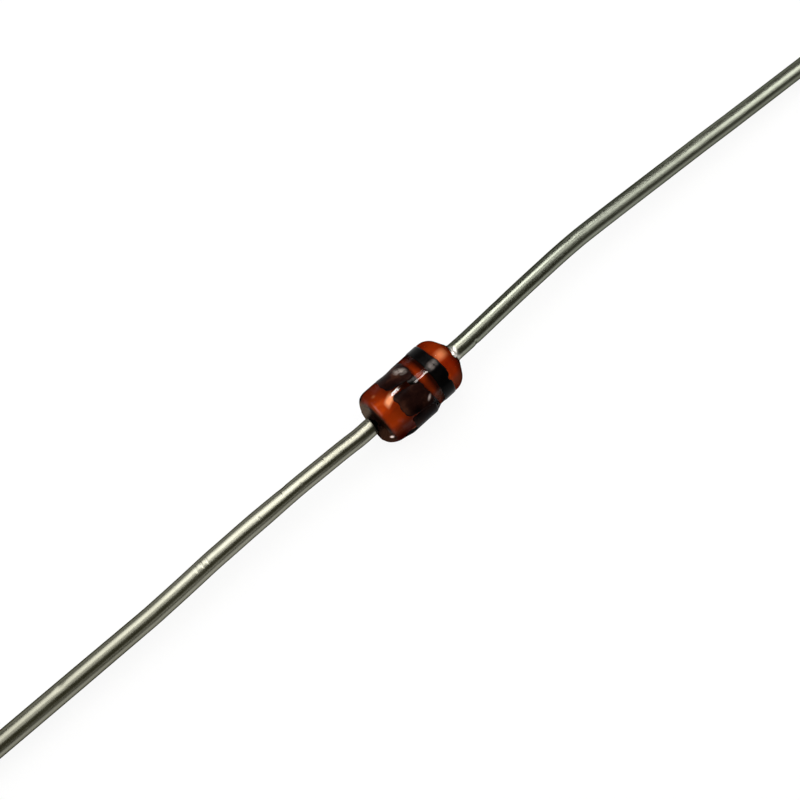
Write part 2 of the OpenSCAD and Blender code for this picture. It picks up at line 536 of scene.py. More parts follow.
def wire_line(recess, bends):
    """Centre points and directions of a lead that starts at its stud and runs out along +X."""
    straight = recess + EXIT_RUN
    n = math.ceil(straight / ROOT_STEP)
    found = [(Vector((straight * i / n, 0, 0)), Vector((1, 0, 0))) for i in range(n + 1)]
    droop = droop_of(bends)
    for i in range(1, DROOP_STEPS + 1):
        a = droop * i / DROOP_STEPS
        at = Vector((straight + EXIT_BEND_R * math.sin(a), 0, -EXIT_BEND_R * (1 - math.cos(a))))
        found.append((at, Vector((math.cos(a), 0, -math.sin(a)))))
    base = found[-1][0]
    out, left = Vector((math.cos(droop), 0, -math.sin(droop))), Vector((0, 1, 0))
    for u, v, h in level_path(bends)[1:]:
        found.append((base + out * u + left * v, out * math.cos(h) + left * math.sin(h)))
    tip, tip_way = found[-1]
    return found[:-1] + [(tip - tip_way * back, tip_way) for back in TIP_RINGS]


def refined(line, dents):
    """The same line with more points beside the dents, and the distance of each from the start."""
    found, along = [line[0]], [0.0]
    for (a, way_a), (b, way_b) in zip(line, line[1:]):
        start, gap = along[-1], (b - a).length
        near = [
            reach for at, _, _, reach, _ in dents
            if start - DENT_SPREAD * reach < at < start + gap + DENT_SPREAD * reach
        ]
        n = math.ceil(gap / min(near) * DENT_RINGS) if near else 1
        for i in range(1, n + 1):
            found.append((a.lerp(b, i / n), way_a.lerp(way_b, i / n).normalized()))
            along.append(start + gap * i / n)
    return found, along


# Unevenness of the leads: share of their radius, and how far they stray to the right in millimetres
def uneven(along):
    """1 along the uneven part of a lead, fading to 0 towards its plain tip."""
    return 1 - smooth(*UNEVEN_TO, along)


def anode_swell(along):
    """Thin beside the glass, then fuller."""
    full = 0.03 * smooth(2.7, 4.2, along) + 0.025 * smooth(7.5, 10, along)
    return 1 - 0.04 * (1 - smooth(2.7, 4.2, along)) + full * uneven(along)


def anode_drift(along):
    stray = 0.018 * smooth(0.5, 1.4, along) - 0.034 * smooth(2.4, 4.6, along)
    stray += 0.012 * bell(along, 5.6, 0.6)
    return stray * uneven(along)


def cathode_swell(along):
    """A little thin."""
    return 1 - (0.028 - 0.008 * smooth(2, 4, along)) * uneven(along)


def cathode_drift(along):
    stray = 0.005 * smooth(0.3, 1.0, along) + 0.021 * bell(along, 4.2, 1.05)
    stray += 0.010 * smooth(9.5, 11, along)
    return stray * uneven(along)


# Leads
class Lead(NamedTuple):
    """What sets one lead apart.

    In millimetres: the recess of its stud, the height of the tin bead at its root, how far the root is
    heat-darkened and how far the painted edge shade along its +Y side runs. The painted edge shade's own
    strength is a share.
    """

    name: str
    node: str
    recess: float
    bends: tuple
    dents: tuple
    swell: Callable
    drift: Callable
    bead: float
    burnt: float
    edge_shade: float
    edge_shade_l: float


CATHODE = Lead(
    "cathode_wire", "cathode_lead", CATHODE_RECESS, CATHODE_BENDS, CATHODE_DENTS,
    cathode_swell, cathode_drift, bead=0.045, burnt=0.0, edge_shade=0.75, edge_shade_l=9.5,
)
ANODE = Lead(
    "anode_wire", "anode_lead", ANODE_RECESS, ANODE_BENDS, ANODE_DENTS,
    anode_swell, anode_drift, bead=0.0, burnt=0.26, edge_shade=0.4, edge_shade_l=20.0,
)


def dent_share(along, angle, dent, shift=0):
    """How deep in a dent a point of a lead lies, from 0 to 1; shift moves the dent round by degrees."""
    at, turn, _, size_along, size_round = dent
    off = (math.degrees(angle) - turn - shift + 180) % 360 - 180
    return bell(along, at, size_along) * bell(off, 0, size_round)


def wire_radius(wire, along, angle, length):
    """Radius of a lead at a distance from its stud: weld flash, tin bead, dents and the sheared tip."""
    round_top = 0.5 + 0.5 * math.sin(angle)
    r = LEAD_R * wire.swell(along) + wire.drift(along) * math.cos(angle)
    r += WELD_FLASH * (1 - smooth(0.0, WELD_L, along))
    r += wire.bead * (0.4 + 0.6 * round_top ** 2) * bell(along, BEAD_AT, BEAD_W)
    lumps = noise.noise(Vector((along * 0.9, math.cos(angle) * 1.5, math.sin(angle) * 1.5)))
    r -= DRAWN_LUMPS * (1 + lumps)
    for dent in wire.dents:
        r -= dent[2] * dent_share(along, angle, dent)
    return r - TIP_ROUND * (1 - smooth(0.0, TIP_L, length - along)) ** 2


def wire_marks_and_painted_light(wire, along, angle, turn):
    """How heat-darkened a lead is at a point, with its painted highlight and painted edge shade; turn is the
    point's angle round from +Y.
    """
    deep = [dent for dent in wire.dents if dent[2] > DIRT_DEPTH]
    heat = max((dent_share(along, angle, dent, DIRT_SHIFT) for dent in deep), default=0.0)
    if wire.burnt:
        heat = max(heat, 1 - smooth(wire.burnt - BURNT_FADE[0], wire.burnt + BURNT_FADE[1], along))
    shine = 0.0
    if wire.bead:
        # Painted highlight on the tin bead at the cathode root: paler on top and, fainter, towards -Y
        lit = min(1.0, bell(turn, *SHINE_AT) + SIDE_SHINE * bell(turn, *SIDE_SHINE_AT))
        shine = lit * (1 - smooth(BEAD_AT + BEAD_W, BEAD_AT + 3 * BEAD_W, along))
    # Painted edge shade: a dark stripe along the upper +Y side of the lead, fading out along it
    edge_shade_reach = 1 - smooth(EDGE_SHADE_FULL * wire.edge_shade_l, wire.edge_shade_l, along)
    painted_edge_shade = wire.edge_shade * bell(turn, *EDGE_SHADE_AT) * edge_shade_reach
    return {"heat": heat, "shine": shine, "painted_edge_shade": painted_edge_shade}


def lead(wire, place, material):
    """A drawn wire with its weld flash, dents, painted edge shade, a painted highlight where it has a tin
    bead, and a sheared tip.
    """
    bm = bmesh.new()
    straight = bm.verts.layers.float_vector.new("straight")
    layers = {name: bm.verts.layers.float.new(name) for name in ("heat", "shine", "painted_edge_shade")}
    line, lengths = refined(wire_line(wire.recess, wire.bends), wire.dents)
    rings = []
    for (at, way), along in zip(line, lengths):
        side = way.cross(Vector((0, 0, 1))).normalized()
        top = side.cross(way).normalized()
        ring = []
        for i in range(WIRE_STEPS):
            angle = 2 * math.pi * i / WIRE_STEPS
            r = wire_radius(wire, along, angle, lengths[-1])
            vert = bm.verts.new(place @ (at + r * (math.cos(angle) * side + math.sin(angle) * top)))
            vert[straight] = Vector((along, r * math.cos(angle), r * math.sin(angle))) * MM
            turn = math.degrees(math.atan2(math.sin(angle), (place.to_3x3() @ side).y * math.cos(angle)))
            for name, value in wire_marks_and_painted_light(wire, along, angle, turn).items():
                vert[layers[name]] = value
            ring.append(vert)
        rings.append(ring)
    caps = []
    for (at, _), along in ((line[0], 0.0), (line[-1], lengths[-1])):
        centre = bm.verts.new(place @ at)
        centre[straight] = Vector((along, 0, 0)) * MM
        caps.append([centre])
    skin(bm, [caps[0], *rings, caps[1]], loop=False)
    finish_piece(wire.name, bm, material, wire.node)


def tin_droplet(material):
    """A droplet of tin that has run onto the rim of the glass beside the cathode lead."""
    bm = bmesh.new()
    bmesh.ops.create_icosphere(bm, subdivisions=4, radius=1)
    straight = bm.verts.layers.float_vector.new("straight")
    shine = bm.verts.layers.float.new("shine")
    down = Vector((math.cos(END_SLOPE), 0, -math.sin(END_SLOPE)))
    out = Vector((math.sin(END_SLOPE), 0, math.cos(END_SLOPE)))
    round_axis = Matrix.Rotation(math.radians(DROPLET_TURN - 90), 3, "X")
    for vert in bm.verts:
        a, b, c = vert.co * (1 + DROPLET_LUMPS * noise.noise(vert.co * LUMP_SCALE + LUMP_PLACE))
        at = Vector((DROPLET_X, 0, DROPLET_R)) + DROPLET_SIZE[0] * a * down + DROPLET_SIZE[2] * c * out
        at.y += DROPLET_SIZE[1] * b
        vert.co = round_axis @ at + Vector((0, 0, AXIS_H))
        vert[straight] = vert.co * MM
        # The whole droplet takes the bright tin colour that also paints the highlight at the root
        vert[shine] = 1.0
    finish_piece("tin_droplet", bm, material, None)


# Nodes: the sockets of a colour mix by number, and how much of a streak is its core
MIX_SHARE, MIX_A, MIX_B, MIX_RESULT = 0, 6, 7, 2
STREAK_CORE = 0.2


class Tree:
    """The nodes of a material or world, with short ways to add and join them."""

    def __init__(self, owner, output):
        self.owner = owner
        owner.use_nodes = True
        self.nodes = owner.node_tree.nodes
        self.links = owner.node_tree.links
        self.nodes.clear()
        self.output = self.nodes.new(output)

    def add(self, kind, inputs=None, **settings):
        node = self.nodes.new(kind)
        for key, value in settings.items():
            setattr(node, key, value)
        for key, value in (inputs or {}).items():
            if isinstance(value, bpy.types.NodeSocket):
                self.links.new(value, node.inputs[key])
            else:
                node.inputs[key].default_value = value
        return node

    def place(self, stretch=(1, 1, 1), attribute=None):
        """Coordinates in metres in the part's frame, or from a named attribute, scaled by stretch."""
        if attribute:
            source = self.add("ShaderNodeAttribute", attribute_name=attribute).outputs["Vector"]
        else:
            source = self.add("ShaderNodeTexCoord").outputs["Object"]
        return self.add("ShaderNodeMapping", {"Vector": source, "Scale": stretch}).outputs["Vector"]

    def painted(self, attribute):
        """The value of a named attribute of the mesh."""
        return self.add("ShaderNodeAttribute", attribute_name=attribute).outputs["Fac"]

    def noise(self, where, scale, detail=4.0, roughness=0.55):
        return self.add("ShaderNodeTexNoise", {
            "Vector": where, "Scale": scale, "Detail": detail, "Roughness": roughness,
        }).outputs["Fac"]

    def ramp(self, value, stops):
        """A colour ramp from (position, colour) stops."""
        node = self.add("ShaderNodeValToRGB", {"Fac": value})
        while len(node.color_ramp.elements) < len(stops):
            node.color_ramp.elements.new(0.5)
        for element, (position, colour) in zip(node.color_ramp.elements, stops):
            element.position = position
            element.color = (*colour, 1)
        return node.outputs["Color"]

    def span(self, value, low, high, to_low, to_high):
        """to_low up to low, to_high from high on, and straight between them."""
        return self.add("ShaderNodeMapRange", {
            "Value": value, "From Min": low, "From Max": high, "To Min": to_low, "To Max": to_high,
        }).outputs["Result"]

    def span_mm(self, value, low, high, to_low, to_high):
        """The same for a length: low and high are in millimetres."""
        return self.span(value, low * MM, high * MM, to_low, to_high)

    def fade(self, value, low, full, rest, high):
        """1 from full to rest, fading to 0 at low and at high, all in millimetres."""
        rise = self.span_mm(value, low, full, 0.0, 1.0)
        fall = self.span_mm(value, rest, high, 1.0, 0.0)
        return self.times(rise, fall)

    def mix(self, share, a, b, blend="MIX"):
        """Colour a turning into colour b by a share."""
        a, b = (v if isinstance(v, bpy.types.NodeSocket) else (*v, 1) for v in (a, b))
        inputs = {MIX_SHARE: share, MIX_A: a, MIX_B: b}
        return self.add("ShaderNodeMix", inputs, data_type="RGBA", blend_type=blend).outputs[MIX_RESULT]

    def bump(self, height, strength, distance, normal=None):
        inputs = {"Height": height, "Strength": strength, "Distance": distance}
        if normal:
            inputs["Normal"] = normal
        return self.add("ShaderNodeBump", inputs).outputs["Normal"]

    def split(self, vector):
        return self.add("ShaderNodeSeparateXYZ", {"Vector": vector}).outputs

    def calc(self, operation, *values):
        return self.add("ShaderNodeMath", dict(enumerate(values)), operation=operation).outputs[0]

    def times(self, a, b):
        return self.calc("MULTIPLY", a, b)

    def plus(self, a, b):
        return self.calc("ADD", a, b)

    def measure(self, operation, *vectors):
        node = self.add("ShaderNodeVectorMath", dict(enumerate(vectors)), operation=operation)
        return node.outputs["Value"]

    def spot(self, where, middle, core, rim, most):
        """A round patch about a point, all in millimetres: most inside its core, fading to 0 at its rim."""
        far = self.measure("DISTANCE", where, tuple(v * MM for v in middle))
        return self.span_mm(far, core, rim, most, 0.0)

    def streak(self, where, middle, lean, length, width):
        """A soft oval streak seen from above, in millimetres, leaning by degrees from X towards Y."""
        oval = self.add("ShaderNodeMapping", {
            "Vector": where,
            "Location": [v * MM for v in middle],
            "Rotation": (0, 0, math.radians(lean)),
            "Scale": (length / 2 * MM, width / 2 * MM, 1),
        }, vector_type="TEXTURE").outputs["Vector"]
        return self.span(self.measure("LENGTH", oval), STREAK_CORE, 1.0, 1.0, 0.0)

    def principled(self, inputs):
        return self.add("ShaderNodeBsdfPrincipled", inputs)

    def blend(self, share, a, b):
        """Shader a turning into shader b by a share."""
        return self.add("ShaderNodeMixShader", {0: share, 1: a.outputs[0], 2: b.outputs[0]})

    def done(self, shader):
        self.links.new(shader.outputs[0], self.output.inputs["Surface"])
        return self.owner


def material_tree(name):
    return Tree(bpy.data.materials.new(name), "ShaderNodeOutputMaterial")


# Glass: places in millimetres, the way out of its low side, and colours
# Places of a painted glint and of a painted shade spot
PAINTED_GLINT_AT = (-1.26, -0.615, 1.17)
SLIT_SHADE_AT = (-0.13, 0.08, 1.61)
LOW_SIDE = (0, -0.906, -0.423)
GLASS_IOR = 1.7
GLASS_TONES = ((0.3, (0.90, 0.89, 0.87)), (0.7, (0.93, 0.93, 0.91)))
# Painted shade in the glass: at the anode end, between the studs, over one spot, on the low side and at the
# outline
ANODE_END_SHADE_TINT = (0.34, 0.25, 0.20)
MIDDLE_SHADE_TINT = (0.29, 0.255, 0.235)
SLIT_SHADE_TINT = (0.09, 0.075, 0.07)
LOW_SHADE_TINT = (0.38, 0.21, 0.15)
OUTLINE_SHADE_TINT = (0.12, 0.08, 0.06)
SHADOW_TINT = (0.8, 0.79, 0.76, 1)
BLACK = (0.0, 0.0, 0.0)
WHITE = (1.0, 1.0, 1.0)
# Colour of the painted glint
PAINTED_GLINT_GLOSS = (1.0, 0.88, 0.84)
# Gloss of the anode end by side: painted shade low and in the middle, a paler top
ANODE_END_GLOSS_SHADES = (
    (0.18, (0.33, 0.14, 0.08)),
    (0.28, (0.075, 0.035, 0.025)),
    (0.60, (0.075, 0.035, 0.025)),
    (0.70, (1.0, 0.72, 0.52)),
)


def glass_tint(t, where, wave, anode_end_shade, facing):
    """Colour of light that passes, with painted shade: at the anode end, between the studs, over one spot at
    the slit, on the low -Y side, and as a dark outline where the glass is seen edge-on.
    """
    part = t.split(where)
    # Painted shade on the low -Y side and at the bottom of the anode half, in brown
    below = t.span_mm(part["Z"], 0.25, 0.12, 0.0, 1.0)
    low_shade = t.plus(t.span_mm(t.measure("DOT_PRODUCT", where, LOW_SIDE), 0.05, 0.25, 0.0, 1.0), below)
    low_shade = t.times(low_shade, t.span_mm(part["X"], -0.30, -0.12, 1.0, 0.0))
    # Painted shade between the studs, where the gap would let the floor show through
    middle_shade = t.fade(part["X"], -0.395, -0.295, 0.15, 0.24)
    # Painted shade: the passing light darkens where the glass is seen edge-on, drawing a dark outline
    outline_shade = t.span(t.calc("POWER", facing, 3.0), 0.0, 1.0, 0.0, 0.8)
    tone = t.ramp(wave, GLASS_TONES)
    tone = t.mix(anode_end_shade, tone, ANODE_END_SHADE_TINT)
    tone = t.mix(middle_shade, tone, MIDDLE_SHADE_TINT)
    # Painted shade over one spot, darkening the slit between the ink blocks
    tone = t.mix(t.spot(where, SLIT_SHADE_AT, 0.08, 0.27, 0.8), tone, SLIT_SHADE_TINT)
    tone = t.mix(low_shade, tone, LOW_SHADE_TINT)
    return t.mix(outline_shade, tone, OUTLINE_SHADE_TINT)


def glass_gloss(t, where, anode_end_shade, painted_glint):
    """Colour of the gloss, with painted shade over the reflections: dim low down, on the far side and round
    both shoulders, and shaded by side at the anode end; a painted glint at one spot.
    """
    part = t.split(where)
    # Painted shade over the reflections: the gloss is dimmed round both shoulders, low down and on the far
    # side
    anode_gloss_shade = t.fade(part["X"], -1.15, -1.07, -0.97, -0.87)
    cathode_gloss_shade = t.fade(part["X"], 0.76, 0.81, 1.25, 1.35)
    level = t.times(t.span_mm(part["Z"], 1.18, 1.5, 0.2, 1.0), t.span_mm(part["Y"], 0.5, 0.7, 1.0, 0.3))
    level = t.times(level, t.span(anode_gloss_shade, 0.0, 1.0, 1.0, 0.06))
    level = t.times(level, t.span(cathode_gloss_shade, 0.0, 1.0, 1.0, 0.03))
    level = t.times(level, t.span_mm(part["X"], 0.95, 1.05, 1.0, 0.4))
    # Painted shade and light on the gloss of the anode end, by side
    anode_end_gloss = t.ramp(t.span_mm(part["Y"], -0.6, 0.6, 0.0, 1.0), ANODE_END_GLOSS_SHADES)
    gloss = t.mix(anode_end_shade, t.mix(level, BLACK, WHITE), anode_end_gloss)
    return t.mix(painted_glint, gloss, PAINTED_GLINT_GLOSS)


def glass_material():
    """Clear sealing glass; shadow rays pass straight through."""
    t = material_tree("sealing_glass")
    where = t.place()
    wave = t.noise(where, 900, 2)
    smudge = t.noise(where, 2600, 5, 0.6)
    facing = t.add("ShaderNodeLayerWeight", {"Blend": 0.5}).outputs["Facing"]
    edge = t.plus(t.times(smudge, 0.12 * MM), t.split(where)["X"])
    # Painted shade at the anode end, where its pocket lies: darker glass and a tinted gloss
    anode_end_shade = t.span_mm(edge, -1.11, -1.20, 0.0, 1.0)
    # Painted glint: the gloss is raised and tinted pale at this spot
    painted_glint = t.spot(where, PAINTED_GLINT_AT, 0.03, 0.075, 0.8)
    finish = {
        "Roughness": t.span(smudge, 0.35, 0.7, 0.015, 0.04),
        "Normal": t.bump(wave, 0.025, 2.0e-5),
    }
    tint = glass_tint(t, where, wave, anode_end_shade, facing)
    gloss = glass_gloss(t, where, anode_end_shade, painted_glint)
    bent = t.add("ShaderNodeBsdfRefraction", {"Color": tint, "IOR": GLASS_IOR, **finish})
    mirror = t.add("ShaderNodeBsdfAnisotropic", {"Color": gloss, **finish})
    share = t.plus(t.span(t.calc("POWER", facing, 8.0), 0.0, 1.0, 0.02, 0.08), t.times(anode_end_shade, 0.06))
    body = t.blend(t.plus(share, painted_glint), bent, mirror)
    clear = t.add("ShaderNodeBsdfTransparent", {"Color": SHADOW_TINT})
    shadow = t.add("ShaderNodeLightPath").outputs["Is Shadow Ray"]
    return t.done(t.blend(shadow, body, clear))


# Studs: a place in millimetres, and colours
# Place of a painted highlight spot, and the slant of the anode's painted highlight patch
HIGHLIGHT_SPOT_AT = (-0.917, 0.373, 1.09)
PATCH_SLANT = -0.34
OXIDE_TONES = ((0.28, (0.22, 0.017, 0.002)), (0.52, (0.32, 0.031, 0.002)), (0.74, (0.44, 0.062, 0.007)))
OXIDE_GRAIN = (0.20, 0.018, 0.003)
# Colours of painted highlights on the oxide
ANODE_HIGHLIGHT = (1.0, 0.41, 0.195)
CATHODE_HIGHLIGHT = (0.62, 0.198, 0.082)
SPOT_HIGHLIGHT = (0.85, 0.30, 0.12)
# Colours of painted light and shade on the oxide
LOWER_PAINTED_LIGHT = (0.64, 0.068, 0.006)
UPPER_PAINTED_SHADE = (0.09, 0.010, 0.003)
BAND_PAINTED_SHADOW = (0.02, 0.002, 0.001)
GAP_PAINTED_SHADE = (0.05, 0.006, 0.003)
END_PAINTED_SHADE = (0.24, 0.010, 0.002)
RIM_PAINTED_SHADE = (0.10, 0.004, 0.001)
LOW_SIDE_PAINTED_SHADE = (0.15, 0.050, 0.030)
POCKET_PAINTED_SHADE = (0.032, 0.019, 0.014)
OXIDE_SHEEN = (0.45, 0.08, 0.04, 1)


def oxide_skin(t, where, grain):
    """Red oxide in clouds, with a darker grain."""
    tone = t.ramp(t.noise(where, 1500, 5, 0.6), OXIDE_TONES)
    return t.mix(t.span(grain, 0.35, 0.7, 0.0, 0.35), tone, OXIDE_GRAIN)


def highlight_skin(t, where, tone):
    """Painted highlights in pale copper colours: a patch on the upper side at each end and a small spot."""
    part = t.split(where)
    above = t.span_mm(part["Z"], AXIS_H, AXIS_H + 0.2, 0.0, 0.8)
    slant = t.calc("MULTIPLY_ADD", part["X"], PATCH_SLANT, part["Y"])
    anode = t.times(t.fade(part["X"], -0.895, -0.775, -0.595, -0.475), t.fade(slant, 0.22, 0.29, 0.36, 0.43))
    tone = t.mix(t.times(anode, above), tone, ANODE_HIGHLIGHT)
    cathode = t.times(t.fade(part["X"], 0.88, 1.02, 1.08, 1.22), t.fade(part["Y"], -0.06, 0.05, 0.12, 0.24))
    tone = t.mix(t.times(cathode, above), tone, CATHODE_HIGHLIGHT)
    return t.mix(t.spot(where, HIGHLIGHT_SPOT_AT, 0.0, 0.07, 0.6), tone, SPOT_HIGHLIGHT)


def shaded_skin(t, where, tone):
    """Painted light and shade on the oxide: lighter towards -Y and darker further on, darker towards +Y, a
    painted shadow under and beside the band, and painted shade beside the gap, at the cathode end and rim,
    and in the anode pocket.
    """
    part = t.split(where)
    x, y = part["X"], part["Y"]
    shades = (
        (t.span_mm(y, -0.14, -0.34, 0.0, 0.7), LOWER_PAINTED_LIGHT),
        (t.times(t.span_mm(y, 0.20, 0.42, 0.0, 0.7), t.span_mm(x, 0.8, 0.95, 1.0, 0.05)), UPPER_PAINTED_SHADE),
        (t.times(t.fade(x, 0.30, 0.46, 0.80, 0.90), 0.96), BAND_PAINTED_SHADOW),
        (t.times(t.fade(x, 0.10, 0.20, 0.50, 0.60), t.span_mm(y, 0.0, -0.25, 0.0, 0.5)), GAP_PAINTED_SHADE),
        (t.times(t.span_mm(x, 0.88, 0.98, 0.0, 1.0), t.span_mm(y, 0.02, -0.12, 0.0, 0.6)), END_PAINTED_SHADE),
        (t.times(t.span_mm(x, 1.05, 1.18, 0.0, 1.0), t.span_mm(y, 0.05, -0.08, 0.0, 0.6)), RIM_PAINTED_SHADE),
        (t.span_mm(y, -0.36, -0.45, 0.0, 0.7), LOW_SIDE_PAINTED_SHADE),
        (t.span_mm(x, -1.045, -1.11, 0.0, 0.96), POCKET_PAINTED_SHADE),
    )
    for share, colour in shades:
        tone = t.mix(share, tone, colour)
    return tone


def stud_material():
    """Copper cladding with a red oxide skin, with painted highlights, painted light and shade by side, a
    painted shadow of the band and painted shade in the anode pocket.
    """
    t = material_tree("stud_oxide")
    where = t.place()
    grain = t.noise(t.place((0.25, 1, 1)), 14000, 4)
    tone = highlight_skin(t, where, oxide_skin(t, where, grain))
    return t.done(t.principled({
        "Base Color": shaded_skin(t, where, tone),
        "Metallic": 0.35,
        "Roughness": t.span(grain, 0.3, 0.7, 0.34, 0.50),
        "Specular IOR Level": 0.0,
        "Specular Tint": OXIDE_SHEEN,
        "Normal": t.bump(grain, 0.35, 6.0e-6),
    }))


# Tinned wire colours
TIN_TONES = ((0.3, (0.222, 0.218, 0.172)), (0.7, (0.270, 0.266, 0.216)))
CATHODE_CAST = (0.96, 1.02, 1.03)
SCUFFED_TIN = (0.13, 0.13, 0.09)
# Colour of the painted edge shade
EDGE_SHADE_TIN = (0.03, 0.032, 0.022)
BURNT_TIN = (0.014, 0.011, 0.010)
# Bright tin of the droplet, also the colour of the painted highlight at the cathode root
BRIGHT_TIN_HIGHLIGHT = (0.95, 0.90, 0.84)
BRIGHT_ROUGHNESS = (0.5, 0.5, 0.5)
NO_SHEEN = (0.0, 0.0, 0.0, 1)


def wire_colour(t, grain, out, bright):
    """Mottled tin, cooler on the cathode lead, with scuffs, painted edge shade, burnt places and a painted
    highlight at the root.
    """
    patch = t.noise(t.place((0.3, 1, 1), "straight"), 900, 3)
    blotch = t.noise(t.place((0.15, 1, 1), "straight"), 2500, 3)
    # Painted edge shade along the +Y side, broken up by blotches
    edge_shade = t.times(t.painted("painted_edge_shade"), t.span(blotch, 0.3, 0.6, 0.7, 1.0))
    tone = t.ramp(patch, TIN_TONES)
    tone = t.mix(t.span_mm(out, 1.0, 2.0, 0.0, 1.0), tone, CATHODE_CAST, "MULTIPLY")
    tone = t.mix(t.span(grain, 0.62, 0.75, 0.0, 0.08), tone, SCUFFED_TIN)
    tone = t.mix(edge_shade, tone, EDGE_SHADE_TIN)
    tone = t.mix(t.painted("heat"), tone, BURNT_TIN)
    return t.mix(bright, tone, BRIGHT_TIN_HIGHLIGHT)


def wire_normal(t, grain):
    """Fine lines along the wire, a grain, and nicks where it is worn."""
    lines = t.noise(t.place((0.02, 1, 1), "straight"), 30000, 3, 0.6)
    nicks = t.noise(t.place((0.5, 0.7, 0.7), "straight"), 5200, 3)
    along = t.split(t.place(attribute="straight"))["X"]
    worn = t.fade(along, 4.0, 5.2, 6.2, 7.4)
    normal = t.bump(lines, 0.05, 4.0e-6)
    normal = t.bump(grain, 0.012, 8.0e-6, normal)
    return t.bump(t.times(nicks, worn), 0.3, 1.4e-5, normal)


def wire_material():
    """Tin plate over drawn wire."""
    t = material_tree("tinned_wire")
    grain = t.noise(t.place((0.35, 1, 1), "straight"), 9000, 4, 0.6)
    out = t.split(t.place())["X"]
    bright = t.painted("shine")
    dull = t.plus(t.span(grain, 0.3, 0.7, 0.23, 0.30), t.span_mm(out, 4.5, 8.0, 0.0, 0.06))
    return t.done(t.principled({
        "Base Color": wire_colour(t, grain, out, bright),
        "Metallic": 1.0,
        "Roughness": t.mix(bright, dull, BRIGHT_ROUGHNESS),
        "Specular Tint": NO_SHEEN,
        "Normal": wire_normal(t, grain),
    }))


# Ink: places of painted reflections and a painted highlight in millimetres, and colours
BAND_REFLECTION_AT = (0.69, 0.01, 0)
BLOCK_REFLECTION_AT = (-0.012, 0.4645, 0)
BLOCK_HIGHLIGHT_AT = (0.096, -0.538, 0)
BAND_TONES = ((0.3, (0.0008, 0.0006, 0.0008)), (0.75, (0.003, 0.0025, 0.0025)))
# Colour of a painted reflection on the band
BAND_PAINTED_REFLECTION = (0.17, 0.145, 0.135)
BLOCK_TONES = ((0.35, (0.003, 0.001, 0.001)), (0.55, (0.012, 0.004, 0.003)), (0.72, (0.042, 0.015, 0.009)))
# Colours of a painted reflection and a painted highlight on the blocks
BLOCK_PAINTED_REFLECTION = (0.34, 0.29, 0.26)
BLOCK_PAINTED_HIGHLIGHT = (0.42, 0.34, 0.32)


def ink_material():
    """Baked marking ink, slightly uneven in tone and gloss, with a painted reflection on top."""
    t = material_tree("marking_ink")
    where = t.place()
    patch = t.noise(where, 5000, 4)
    reflection_noise = t.span(t.noise(where, 6500, 4, 0.6), 0.36, 0.6, 0.1, 1.15)
    above = t.span_mm(t.split(where)["Z"], 1.2, 1.4, 0.0, 1.0)
    # Painted reflection: a pale streak on top of the band, broken up by noise
    painted_reflection = t.times(t.times(t.streak(where, BAND_REFLECTION_AT, 0, 0.50, 0.28), reflection_noise), above)
    return t.done(t.principled({
        "Base Color": t.mix(painted_reflection, t.ramp(patch, BAND_TONES), BAND_PAINTED_REFLECTION),
        "Roughness": t.span(patch, 0.3, 0.7, 0.15, 0.24),
        "Specular IOR Level": 0.022,
        "Normal": t.bump(patch, 0.3, 8.0e-6),
    }))


def thin_ink_material():
    """Thin marking ink, with a painted reflection and a painted highlight in pale grey."""
    t = material_tree("thin_ink")
    where = t.place()
    patch = t.noise(where, 5000, 4)
    reflection_noise = t.span(t.noise(where, 9000, 3, 0.6), 0.35, 0.6, 0.1, 1.0)
    # Painted reflection: a pale slanted streak on the first block, broken up by noise
    painted_reflection = t.times(t.streak(where, BLOCK_REFLECTION_AT, -42, 0.44, 0.26), reflection_noise)
    # Painted highlight: a small pale streak on the second block
    painted_highlight = t.streak(where, BLOCK_HIGHLIGHT_AT, 32, 0.22, 0.085)
    tone = t.ramp(t.noise(where, 2400, 3, 0.5), BLOCK_TONES)
    tone = t.mix(painted_reflection, tone, BLOCK_PAINTED_REFLECTION)
    return t.done(t.principled({
        "Base Color": t.mix(painted_highlight, tone, BLOCK_PAINTED_HIGHLIGHT),
        "Roughness": t.span(patch, 0.3, 0.7, 0.10, 0.18),
        "Specular IOR Level": 0.015,
        "Normal": t.bump(patch, 0.3, 8.0e-6),
    }))


# Inner materials
SILICON_TONES = ((0.3, (0.06, 0.06, 0.075)), (0.7, (0.13, 0.13, 0.15)))
SILVER_TONES = ((0.3, (0.62, 0.61, 0.58)), (0.7, (0.80, 0.79, 0.77)))


def silicon_material():
    """Diced silicon with saw marks on its sides."""
    t = material_tree("silicon")
    saw = t.noise(t.place((0.1, 1, 1)), 22000, 3)
    return t.done(t.principled({
        "Base Color": t.ramp(saw, SILICON_TONES),
        "Metallic": 0.6,
        "Roughness": t.span(saw, 0.3, 0.7, 0.25, 0.45),
        "Normal": t.bump(saw, 0.3, 4.0e-6),
    }))


def silver_material():
    """Plated silver with a satin grain."""
    t = material_tree("plated_silver")
    grain = t.noise(t.place(), 26000, 4)
    return t.done(t.principled({
        "Base Color": t.ramp(grain, SILVER_TONES),
        "Metallic": 1.0,
        "Roughness": t.span(grain, 0.3, 0.7, 0.22, 0.40),
        "Normal": t.bump(grain, 0.4, 4.0e-6),
    }))


# Stage, in metres
FLOOR_HALF = 3
FLOOR_GLOW = 0.90
FLOOR_PAINT = (0.10, 0.10, 0.10, 1)
FLOOR_NEAR = 100 * MM
FLOOR_FAR = 900 * MM
BACKGROUND = (1, 1, 1, 1)
SKY_TONES = ((0.06, (0.5, 0.5, 0.5)), (0.27, (0.073, 0.070, 0.034)))


